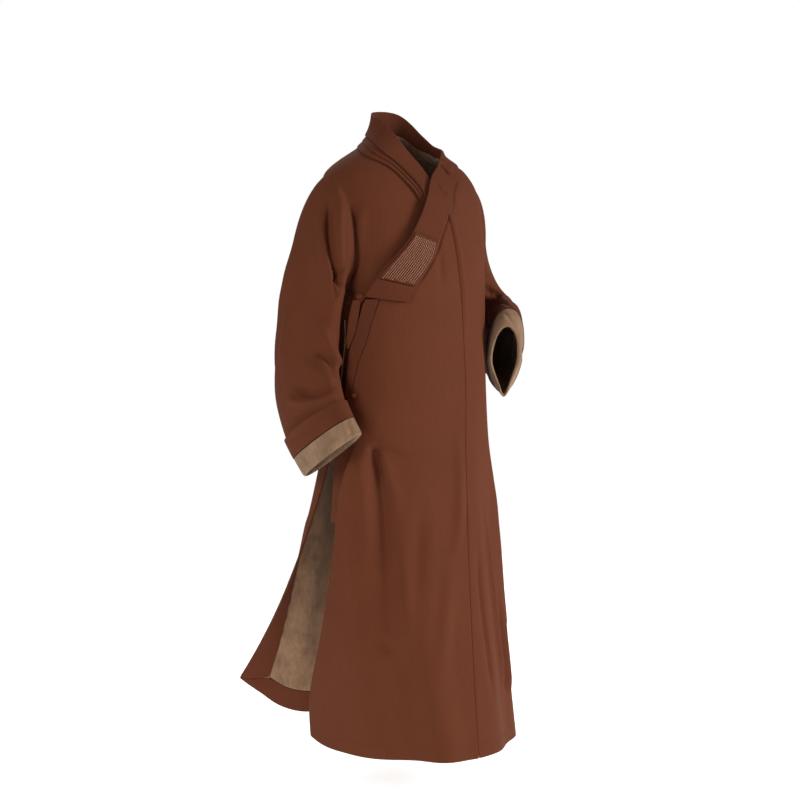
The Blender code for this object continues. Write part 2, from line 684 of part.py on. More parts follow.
def make_patches():
    """The stitched patch, its rows raised in the outer skin, and the plain patch below it."""
    over = BAND / 2 + SEAM_GAP + STRIP / 2 + 0.0006
    columns = 2 * STITCH_ROWS + 1
    steps = 9
    share = np.linspace(1.25, 4.45, steps) / (len(LAP_BAND) - 1)
    values = band_station(LAP_BAND, share)
    cross = np.linspace(0.07, 0.985, columns)[None, :]
    turn = values[:, None, 0] * (1 - cross) + values[:, None, 2] * cross
    z = values[:, None, 1] * (1 - cross) + values[:, None, 3] * cross
    sheet = Sheet()
    sheet.add_grid(band_points(turn, z, values[:, None, 4] + over + 0.0 * cross, True)[:, ::-1])
    made = place_part("stitched_patch", sheet, STRIP, BROWN, weld=False)
    raise_rows(made, np.tile(np.arange(columns), steps))
    share = np.linspace(-0.0, 1.18, 6) / (len(LAP_BAND) - 1)
    values = band_station(LAP_BAND, share)
    cross = np.linspace(0.03, 0.985, 5)[None, :]
    turn = values[:, None, 0] * (1 - cross) + values[:, None, 2] * cross
    z = values[:, None, 1] * (1 - cross) + values[:, None, 3] * cross
    sheet = Sheet()
    sheet.add_grid(band_points(turn, z, values[:, None, 4] + over + 0.0 * cross, True)[:, ::-1])
    place_part("end_patch", sheet, STRIP, BROWN)


def grid_part(name, grid, normals, cells, thick, off, colour, roughness=0.85):
    """A piece lying on a panel: the panel's own points and normals, moved off it.

    cells lists (row, column, corners); corners picks which of the cell's four are used.
    """
    keep = {}
    points = []
    directions = []
    faces = []
    for row, column, corners in cells:
        around = ((row, column), (row, column + 1), (row + 1, column + 1), (row + 1, column))
        face = []
        for corner in corners:
            key = around[corner]
            if key not in keep:
                keep[key] = len(points)
                points.append(grid[key] + normals[key] * off)
                directions.append(normals[key])
            face.append(keep[key])
        faces.append(tuple(face))
    points = np.array(points)
    # Draw the rim in, so that neighbouring pieces stay apart at their seams
    seen = {}
    for face in faces:
        for k, v in enumerate(face):
            seen[(v, face[(k + 1) % len(face)])] = face
    pull = np.zeros_like(points)
    for (v, w), face in seen.items():
        if (w, v) not in seen:
            edge = points[w] - points[v]
            edge /= np.linalg.norm(edge)
            inward = points[list(face)].mean(axis=0) - (points[v] + points[w]) / 2
            inward -= edge * (inward @ edge)
            inward /= np.linalg.norm(inward)
            pull[v] += inward
            pull[w] += inward
    sheet = Sheet()
    sheet.points = list(points + pull * SEAM_GAP)
    sheet.faces = faces
    return place_part(name, sheet, thick, colour, roughness, False, np.array(directions))


def make_back_inside(grid, normals):
    """Facings along the back's right slit and hem, mitred at the corner, and the plush."""
    inside = CLOTH / 2 + 0.0009 + STRIP / 2
    rows, columns = grid.shape[:2]
    top = int(np.argmin(np.abs(grid[:, -1, 2] - (SLIT_TOP_Z - 0.06))))
    foot = rows - 3
    side = columns - 3
    whole = (0, 1, 2, 3)
    cells = [(r, c, whole) for r in range(top, foot) for c in (side, side + 1)]
    cells += [(foot, side, (0, 1, 2)), (foot, side + 1, whole), (foot + 1, side + 1, (0, 1, 2))]
    grid_part("slit_facing", grid, normals, cells, STRIP, inside, BROWN)
    cells = [(r, c, whole) for r in (foot, foot + 1) for c in range(0, side)]
    cells += [(foot, side, (0, 2, 3)), (foot + 1, side, whole), (foot + 1, side + 1, (0, 2, 3))]
    grid_part("hem_facing", grid, normals, cells, STRIP, inside, BROWN)
    cells = [(r, c, whole) for r in range(top, foot) for c in range(0, side)]
    grid_part("back_plush", grid, normals, cells, STRIP, inside, TAN, 0.95)


# Small pieces at the right side. Each row gives a height and the two edges' directions.
EDGE_FOLD = (
    (-0.3230, 213.5, 222.5),
    (-0.3360, 211.0, 221.0),
    (-0.3640, 208.6, 217.6),
    (-0.3930, 206.2, 214.8),
    (-0.4100, 204.4, 213.2),
    (-0.4300, 201.0, 210.6),
    (-0.4700, 198.4, 205.8),
    (-0.5200, 196.6, 201.6),
    (-0.5420, 196.2, 199.6),
)
SIDE_TIE = (
    (-0.3260, 203.6, 209.6),
    (-0.3600, 200.2, 207.6),
    (-0.3930, 198.2, 205.0),
    (-0.4100, 197.4, 202.8),
    (-0.4330, 197.6, 198.8),
)


def make_side_strip(name, table, steps, thick, off):
    rows = np.linspace(table[0][0], table[-1][0], steps)
    edges = smooth_rows(table, rows)
    across = np.linspace(0, 1, 4)[None, :]
    turn = edges[:, None, 0] * (1 - across) + edges[:, None, 1] * across
    z = rows[:, None] + 0.0 * turn
    sheet = Sheet()
    sheet.add_grid(on_body(turn, z, off + 0.0 * turn, "lap"))
    return place_part(name, sheet, thick, BROWN)


def make_cord(name, path, radius, colour, sides=6):
    """A round cord along a path, closed at both ends."""
    path = np.array(path, float)
    tangent = np.gradient(path, axis=0)
    tangent /= np.linalg.norm(tangent, axis=1, keepdims=True)
    side = np.cross(tangent, (0.31, 0.12, 0.94))
    side /= np.linalg.norm(side, axis=1, keepdims=True)
    other = np.cross(tangent, side)
    phi = np.linspace(0, 2 * np.pi, sides, endpoint=False)
    points = []
    for k, middle in enumerate(path):
        for angle in phi:
            points.append(middle + radius * (np.cos(angle) * side[k] + np.sin(angle) * other[k]))
    faces = []
    for k in range(len(path) - 1):
        for j in range(sides):
            a = k * sides + j
            b = k * sides + (j + 1) % sides
            faces.append((a, b, b + sides, a + sides))
    faces.append(tuple(range(sides))[::-1])
    start = (len(path) - 1) * sides
    faces.append(tuple(start + j for j in range(sides)))
    mesh = bpy.data.meshes.new(name)
    mesh.from_pydata([tuple(p) for p in points], [], faces)
    mesh.update()
    made = bpy.data.objects.new(name, mesh)
    made.data.materials.append(material(name + "_cloth", colour, 0.8))
    bpy.context.scene.collection.objects.link(made)
    return made


def make_side_cord():
    """The thin pale tie of the inner front, hanging between the sleeve and the side."""
    z = np.linspace(-0.372, -0.522, 12)
    turn = 193.0 - 5.0 * ease((-0.40 - z) / 0.12)
    path = on_body(turn, z, 0.0030 + 0.0 * z, "under")
    return make_cord("side_cord", path, 0.0013, TAN)


def make_knot(name, turn, z, off, radius):
    """A ball of knotted cord, a little flattened against the cloth."""
    middle = on_body(np.array(turn), np.array(z), np.array(off), "lap")
    levels = 6
    sides = 10
    path = []
    for k in range(levels + 1):
        angle = np.pi * (k + 0.5) / (levels + 1)
        path.append((np.cos(angle), np.sin(angle)))
    points = []
    for up, out in path:
        for j in range(sides):
            around = 2 * np.pi * j / sides
            lump = 1.0 + 0.10 * np.cos(3 * around + 4 * up)
            x = radius * out * lump * np.cos(around)
            y = radius * out * lump * np.sin(around)
            points.append(middle + np.array([x, y, radius * 0.95 * up]))
    faces = []
    for k in range(levels):
        for j in range(sides):
            a = k * sides + j
            b = k * sides + (j + 1) % sides
            faces.append((b, a, a + sides, b + sides))
    faces.append(tuple(range(sides)))
    start = levels * sides
    faces.append(tuple(start + j for j in range(sides))[::-1])
    mesh = bpy.data.meshes.new(name)
    mesh.from_pydata([tuple(p) for p in points], [], faces)
    mesh.update()
    for polygon in mesh.polygons:
        polygon.use_smooth = True
    made = bpy.data.objects.new(name, mesh)
    made.data.materials.append(material(name + "_cloth", BROWN, 0.8))
    bpy.context.scene.collection.objects.link(made)
    return made


make_body_left()
back_points, back_normals = make_body_right()
make_lap_front()
make_collar()
make_collar_layer("collar_layer_middle", 0.84, 1.20, 0.0062)
make_collar_layer("collar_layer_lower", 1.02, 1.40, 0.0042)
make_patches()
make_sleeve("sleeve_right", RIGHT_SLEEVE, -1.0)
make_sleeve("sleeve_left", LEFT_SLEEVE, 1.0)
make_cuff("right", RIGHT_SLEEVE, -1.0)
make_cuff("left", LEFT_SLEEVE, 1.0)
make_back_inside(back_points, back_normals)
make_side_strip("edge_fold", EDGE_FOLD, 14, CLOTH, CLOTH + 0.0010)
make_side_strip("side_tie", SIDE_TIE, 9, STRIP, CLOTH + SEAM_GAP)
make_side_cord()
make_knot("knot_upper", 209.5, -0.3165, 0.0075, 0.0075)
make_knot("knot_lower", 203.5, -0.5360, 0.0074, 0.0060)
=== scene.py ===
# %% [markdown]
# # A crossed-collar winter robe
# This notebook dresses the robe's plain solids as real cloth. The solids fix every size and
# the worn pose, so each piece here starts from the solid it stands for and stays beside it.
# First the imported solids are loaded, and the box they fill is measured for later.

# %% The solids
import math

import bpy
import numpy as np
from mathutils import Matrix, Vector
from mathutils.bvhtree import BVHTree


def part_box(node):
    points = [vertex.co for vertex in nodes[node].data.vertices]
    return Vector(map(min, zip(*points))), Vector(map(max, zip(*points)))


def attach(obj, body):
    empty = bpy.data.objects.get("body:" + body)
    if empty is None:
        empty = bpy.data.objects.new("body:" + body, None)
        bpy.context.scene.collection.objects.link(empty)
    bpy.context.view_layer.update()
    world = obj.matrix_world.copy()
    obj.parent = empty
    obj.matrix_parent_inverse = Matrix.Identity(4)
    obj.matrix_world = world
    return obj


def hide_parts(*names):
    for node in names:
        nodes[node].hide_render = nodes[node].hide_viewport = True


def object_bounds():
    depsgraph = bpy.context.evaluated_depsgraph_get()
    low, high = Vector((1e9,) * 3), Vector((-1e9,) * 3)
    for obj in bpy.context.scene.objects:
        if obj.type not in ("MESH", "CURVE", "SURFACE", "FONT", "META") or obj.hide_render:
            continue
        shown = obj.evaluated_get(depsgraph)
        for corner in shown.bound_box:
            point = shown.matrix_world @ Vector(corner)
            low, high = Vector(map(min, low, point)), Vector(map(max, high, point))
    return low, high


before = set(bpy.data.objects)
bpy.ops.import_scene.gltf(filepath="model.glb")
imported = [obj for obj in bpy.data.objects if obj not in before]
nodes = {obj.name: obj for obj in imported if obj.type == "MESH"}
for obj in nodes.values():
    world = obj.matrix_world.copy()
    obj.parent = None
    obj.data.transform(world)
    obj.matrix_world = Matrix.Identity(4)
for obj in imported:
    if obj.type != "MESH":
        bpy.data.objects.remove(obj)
cad_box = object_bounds()
print("solids", len(nodes), "box", cad_box)

# %% [markdown]
# The camera stands in front of the wearer's right side, a little above waist height, and far
# enough away for a long lens. It is made first, because everything is judged through it.

# %% Camera
TURN = math.radians(-38.0)
RISE = math.radians(6.5)
AWAY = 4.2
LENS = 1835.0  # pixels in an 800 pixel frame
side_way = Vector((math.cos(TURN), math.sin(TURN), 0.0))
back_way = Vector((math.sin(TURN) * math.cos(RISE), -math.cos(TURN) * math.cos(RISE), math.sin(RISE)))
aim = side_way * -0.011 + Vector((0.0, 0.0, -0.566))
bpy.ops.object.camera_add(location=aim + back_way * AWAY)
camera = bpy.context.object
camera.name = "camera"
camera.rotation_euler = back_way.to_track_quat("Z", "Y").to_euler()
camera.data.angle = 2 * math.atan(400.0 / LENS)
bpy.context.scene.camera = camera
print("camera at", tuple(round(c, 3) for c in camera.location))

# %% [markdown]
# Shader maths reads best as plain arithmetic. This small class wraps a socket, so that
# `a * 0.5 + b` adds the Math nodes, and `Shade.node` adds any other node with its settings
# and its inputs in one line.

# %% A socket that does arithmetic
class Shade:
    def __init__(self, tree, socket):
        self.tree = tree
        self.socket = socket

    def node(self, kind, settings=None, **inputs):
        made = self.tree.nodes.new(kind)
        for name, value in (settings or {}).items():
            setattr(made, name, value)
        for name, value in inputs.items():
            place = int(name[1:]) if name[0] == "n" and name[1:].isdigit() else name.replace("_", " ")
            join(self.tree, value, made.inputs[place])
        return made

    def math(self, operation, *others):
        made = self.tree.nodes.new("ShaderNodeMath")
        made.operation = operation
        for place, value in enumerate((self, *others)):
            join(self.tree, value, made.inputs[place])
        return Shade(self.tree, made.outputs[0])

    def __add__(self, other):
        return self.math("ADD", other)

    __radd__ = __add__

    def __mul__(self, other):
        return self.math("MULTIPLY", other)

    __rmul__ = __mul__

    def __sub__(self, other):
        return self.math("SUBTRACT", other)

    def __rsub__(self, other):
        return (self * -1.0).math("ADD", other)


def join(tree, value, place):
    """Links a wrapped socket into an input, or sets the input to a plain value."""
    if isinstance(value, Shade):
        tree.links.new(value.socket, place)
    else:
        place.default_value = value


print("shader arithmetic ready")

# %% [markdown]
# The robe's own cloth is a dense, smooth brown cotton with a dull glow. Up close it has a
# fine weave and thin slubs that run down the cloth, and over a hand's breadth its tone drifts
# a little. All of it is worked out from the place on the robe in metres.

# %% Noise at a place on the robe
def start_finish(name):
    made = bpy.data.materials.new(name)
    made.use_nodes = True
    tree = made.node_tree
    shader = tree.nodes["Principled BSDF"]
    place = tree.nodes.new("ShaderNodeTexCoord").outputs["Object"]
    return made, tree, shader, Shade(tree, place)


def noise(place, scale, detail=2.0, stretch=(1.0, 1.0, 1.0)):
    """Cloudy noise from 0 to 1; stretch below 1 draws it out along that axis."""
    laid = place.node("ShaderNodeMapping", n0=place, Scale=stretch)
    cloud = place.node(
        "ShaderNodeTexNoise", Vector=Shade(place.tree, laid.outputs[0]), Scale=scale, Detail=detail
    )
    return Shade(place.tree, cloud.outputs[0])


def blend_tones(share, low, high):
    """A colour between two linear tones."""
    mixed = share.node("ShaderNodeMix", {"data_type": "RGBA", "clamp_factor": True}, n0=share)
    mixed.inputs[6].default_value = (*low, 1.0)
    mixed.inputs[7].default_value = (*high, 1.0)
    return Shade(share.tree, mixed.outputs[2])


def relief(tree, shader, height, depth):
    """Feeds a height in 0 to 1 to the shader's normal, depth metres tall."""
    bump = tree.nodes.new("ShaderNodeBump")
    bump.inputs["Distance"].default_value = depth
    tree.links.new(height.socket, bump.inputs["Height"])
    tree.links.new(bump.outputs[0], shader.inputs["Normal"])


def brown_cloth(name, low, high, rough=0.82):
    made, tree, shader, place = start_finish(name)
    slub = noise(place, 520.0, 2.0, (1.0, 1.0, 0.07))
    weave = noise(place, 1500.0, 1.0)
    drift = noise(place, 5.5, 3.0)
    lumps = noise(place, 38.0, 3.0, (1.0, 1.0, 0.45))
    tone = drift * 0.55 + slub * 0.30 + weave * 0.15 + lumps * 0.12 - 0.06
    tree.links.new(blend_tones(tone, low, high).socket, shader.inputs["Base Color"])
    tree.links.new((slub * 0.10 + rough - 0.05).socket, shader.inputs["Roughness"])
    relief(tree, shader, slub * 0.10 + weave * 0.08 + lumps * 0.82, 0.0022)
    shader.inputs["Sheen Weight"].default_value = 0.03
    shader.inputs["Sheen Roughness"].default_value = 0.45
    shader.inputs["Sheen Tint"].default_value = (0.90, 0.52, 0.38, 1.0)
    shader.inputs["Specular IOR Level"].default_value = 0.12
    return made


cloth = brown_cloth("brown_cloth", (0.094, 0.0235, 0.0090), (0.142, 0.0385, 0.0160))
trim = brown_cloth("brown_trim", (0.083, 0.0200, 0.0078), (0.130, 0.0348, 0.0146))
print("cloth finishes", cloth.name, trim.name)

# %% [markdown]
# The lining is a short tan plush. Its nap lies in brushed patches, some pale where it faces
# the light and some dark where it leans away, so two sizes of noise share the tone, and the
# pile itself is a fine relief.

# %% Plush and thread
def plush_finish(name, low, high):
    made, tree, shader, place = start_finish(name)
    patches = noise(place, 26.0, 3.0, (1.0, 1.0, 0.6))
    strokes = noise(place, 120.0, 3.0, (1.0, 1.0, 0.35))
    pile = noise(place, 900.0, 2.0, (1.0, 1.0, 0.6))
    tone = patches * 0.9 + strokes * 0.55 + pile * 0.5 - 0.48
    tree.links.new(blend_tones(tone, low, high).socket, shader.inputs["Base Color"])
    relief(tree, shader, patches * 0.35 + strokes * 0.40 + pile * 0.35, 0.0045)
    shader.inputs["Roughness"].default_value = 0.9
    shader.inputs["Sheen Weight"].default_value = 0.25
    shader.inputs["Sheen Roughness"].default_value = 0.5
    shader.inputs["Sheen Tint"].default_value = (1.0, 0.85, 0.70, 1.0)
    shader.inputs["Specular IOR Level"].default_value = 0.15
    return made


def thread_finish(name, low, high):
    made, tree, shader, place = start_finish(name)
    twist = noise(place, 1300.0, 1.0)
    tree.links.new(blend_tones(twist, low, high).socket, shader.inputs["Base Color"])
    relief(tree, shader, twist, 0.0004)
    shader.inputs["Roughness"].default_value = 0.6
    return made


plush = plush_finish("tan_plush", (0.100, 0.049, 0.022), (0.390, 0.226, 0.128))
thread = thread_finish("pale_thread", (0.42, 0.225, 0.145), (0.62, 0.36, 0.25))
dark_thread = thread_finish("brown_thread", (0.070, 0.020, 0.011), (0.120, 0.038, 0.022))
cord_finish = thread_finish("tan_cord", (0.34, 0.20, 0.11), (0.52, 0.34, 0.21))
print("plush and threads ready")

# %% [markdown]
# Each cloth piece starts as a merged copy of its solid. The loose triangles become quads, the
# sharp rims of the wall are creased so that they stay crisp, and a Subdivision Surface rounds
# the flat facets into cloth. The result is applied, so that creases can be pressed into it.

# %% A cut piece from its solid
def only(piece):
    """Selects one object alone and makes it active."""
    if bpy.context.mode != "OBJECT":
        bpy.ops.object.mode_set(mode="OBJECT")
    bpy.ops.object.select_all(action="DESELECT")
    piece.select_set(True)
    bpy.context.view_layer.objects.active = piece


def merged_copy(node, finish, lining=None, away=None, rim=0.75):
    """A copy of one solid in quads with crisp rims; its inner face takes the lining."""
    only(nodes[node])
    bpy.ops.object.duplicate()
    piece = bpy.context.object
    piece.name = node + "_cloth"
    piece.parent = None
    for mark in list(piece.keys()):
        del piece[mark]
    piece.data.materials.clear()
    bpy.ops.object.mode_set(mode="EDIT")
    bpy.ops.mesh.select_all(action="SELECT")
    bpy.ops.mesh.remove_doubles(threshold=0.00002)
    bpy.ops.mesh.customdata_custom_splitnormals_clear()
    bpy.ops.mesh.tris_convert_to_quads(face_threshold=math.radians(50), shape_threshold=math.radians(60))
    bpy.ops.mesh.select_mode(type="EDGE")
    bpy.ops.mesh.select_all(action="DESELECT")
    bpy.ops.mesh.edges_select_sharp(sharpness=math.radians(55))
    bpy.ops.transform.edge_crease(value=rim)
    bpy.ops.object.mode_set(mode="OBJECT")
    piece.data.materials.append(finish)
    if lining:
        piece.data.materials.append(lining)
        normals = np.empty(len(piece.data.polygons) * 3, np.float32)
        centres = np.empty(len(piece.data.polygons) * 3, np.float32)
        piece.data.polygons.foreach_get("normal", normals)
        piece.data.polygons.foreach_get("center", centres)
        facing = (normals.reshape(-1, 3) * away(centres.reshape(-1, 3).astype(float))).sum(axis=1)
        piece.data.polygons.foreach_set("material_index", (facing < -0.35).astype(np.int32))
    return piece


def smoothed(piece, levels):
    only(piece)
    smooth = piece.modifiers.new("smooth", "SUBSURF")
    smooth.levels = levels
    smooth.render_levels = levels
    bpy.ops.object.modifier_apply(modifier="smooth")
    bpy.ops.object.shade_smooth()
    return piece


def points_of(piece):
    flat = np.empty(len(piece.data.vertices) * 3, np.float32)
    piece.data.vertices.foreach_get("co", flat)
    return flat.reshape(-1, 3).astype(float)


def put_points(piece, points):
    piece.data.vertices.foreach_set("co", points.astype(np.float32).ravel())
    piece.data.update()


print("copying and smoothing ready")

# %% [markdown]
# Creases are pressed in one by one. A crease is a short path over the cloth, how far it reaches
# to each side, and how high it stands (or how deep it sinks, below zero). It dies out at both
# ends unless it runs off an edge. Both faces of the wall move together, away from the middle
# of the body or of the sleeve, so the cloth keeps its thickness.

# %% Pressing a crease
def eased(share):
    share = np.clip(share, 0.0, 1.0)
    return share * share * (3.0 - 2.0 * share)


def rounded(path, steps=6):
    """The path with its corners rounded, by a Catmull-Rom curve through its points."""
    path = np.array(path, float)
    ends = np.vstack([2 * path[0] - path[1], path, 2 * path[-1] - path[-2]])
    rows = []
    for a, b, c, d in zip(ends, ends[1:], ends[2:], ends[3:]):
        for t in np.arange(steps) / steps:
            rows.append(
                0.5 * (2 * b + (c - a) * t + (2 * a - 5 * b + 4 * c - d) * t * t
                       + (3 * b - a - 3 * c + d) * t * t * t)
            )
    rows.append(path[-1])
    return np.array(rows)


def near_path(points, path, reach):
    """Which points lie in the box round a path, grown by its reach."""
    return ((points > path.min(axis=0) - reach) & (points < path.max(axis=0) + reach)).all(axis=1)


def crease(points, away, path, reach, height, fade=(0.3, 0.3)):
    """Moves the points near a path out along away(point), or in where height is below zero.

    Depth under the surface doesn't count, so both faces of a wall move alike.
    """
    line = rounded(path)
    chosen = np.flatnonzero(near_path(points, line, 2.6 * reach))
    some = points[chosen]
    out = away(some)
    spans = np.linalg.norm(np.diff(line, axis=0), axis=1)
    run = spans.sum()
    nearest = np.full(len(some), 1e9)
    along = np.zeros(len(some))
    done = 0.0
    for start, end, span in zip(line, line[1:], spans):
        way = (end - start) / span
        t = np.clip((some - start) @ way, 0.0, span)
        gap = some - start - t[:, None] * way
        gap -= (gap * out).sum(axis=1)[:, None] * out
        gap = np.linalg.norm(gap, axis=1)
        closer = gap < nearest
        nearest[closer] = gap[closer]
        along[closer] = (done + t[closer]) / run
        done += span
    lift = height * np.exp(-((nearest / reach) ** 2))
    if fade[0]:
        lift *= eased(along / fade[0])
    if fade[1]:
        lift *= eased((1.0 - along) / fade[1])
    moved = points.copy()
    moved[chosen] += lift[:, None] * out
    return moved


def from_body_axis(points):
    """Unit vectors away from the middle of the body, turning upwards over the shoulders."""
    middle = np.stack([0 * points[:, 0] - 0.006, 0 * points[:, 0], np.minimum(points[:, 2], -0.14)], 1)
    out = points - middle
    return out / np.maximum(np.linalg.norm(out, axis=1, keepdims=True), 1e-6)


def from_sleeve_axis(points, axis):
    """Unit vectors away from the line down the middle of a sleeve."""
    line = rounded(axis)
    best = np.full(len(points), 1e9)
    middle = np.zeros_like(points)
    for start, end in zip(line, line[1:]):
        way = end - start
        t = np.clip(((points - start) @ way) / (way @ way), 0.0, 1.0)
        on = start + t[:, None] * way
        gap = np.linalg.norm(points - on, axis=1)
        closer = gap < best
        best[closer] = gap[closer]
        middle[closer] = on[closer]
    out = points - middle
    return out / np.maximum(np.linalg.norm(out, axis=1, keepdims=True), 1e-6)


RIGHT_AXIS = ((-0.200, 0.000, -0.100), (-0.229, 0.003, -0.219), (-0.241, 0.014, -0.301), (-0.245, 0.035, -0.396),
              (-0.253, 0.037, -0.494), (-0.258, 0.016, -0.545), (-0.260, -0.012, -0.594), (-0.249, -0.060, -0.664),
              (-0.240, -0.090, -0.700))
LEFT_AXIS = ((0.170, 0.010, -0.120), (0.206, 0.025, -0.218), (0.220, 0.052, -0.296), (0.257, 0.047, -0.378),
             (0.263, 0.014, -0.410), (0.253, -0.032, -0.430), (0.231, -0.078, -0.443), (0.198, -0.121, -0.454),
             (0.164, -0.157, -0.474), (0.125, -0.197, -0.490))
AWAY = {
    "body": from_body_axis,
    "right": lambda points: from_sleeve_axis(points, RIGHT_AXIS),
    "left": lambda points: from_sleeve_axis(points, LEFT_AXIS),
}
print("crease tools ready")

# %% [markdown]
# The creases that can be seen are easiest to place in the camera's own picture. A ray from the
# camera through a place in the 800 by 800 frame meets the solids at the point of the crease.

# %% Points seen by the camera
def tree_of(meshes):
    corners = []
    faces = []
    for made in meshes:
        first = len(corners)
        corners.extend(tuple(made.matrix_world @ v.co) for v in made.data.vertices)
        faces.extend([tuple(first + i for i in f.vertices) for f in made.data.polygons])
    return BVHTree.FromPolygons(corners, faces)


up_way = back_way.cross(side_way)


def seen(tree, spots):
    """Where rays through these places of the frame first meet the tree."""
    found = []
    for across, down in spots:
        way = side_way * (across - 400.0) + up_way * (400.0 - down) - back_way * LENS
        spot, _, _, _ = tree.ray_cast(camera.location, way.normalized())
        if spot is not None:
            found.append(tuple(spot))
    return found


solid_tree = tree_of([nodes[name] for name in nodes if "knot" not in name and "cord" not in name])
print("a point in front", seen(solid_tree, ((420, 350),)))

# %% [markdown]
# These are the robe's main creases. The skirt is drawn up at the wearer's right hip, so soft
# pulls run down from there. A wide sleeve on a bent arm folds at the armhole, on the inside of
# the elbow and above the turned-back cuff, and the long fold from the shoulder is the deepest.

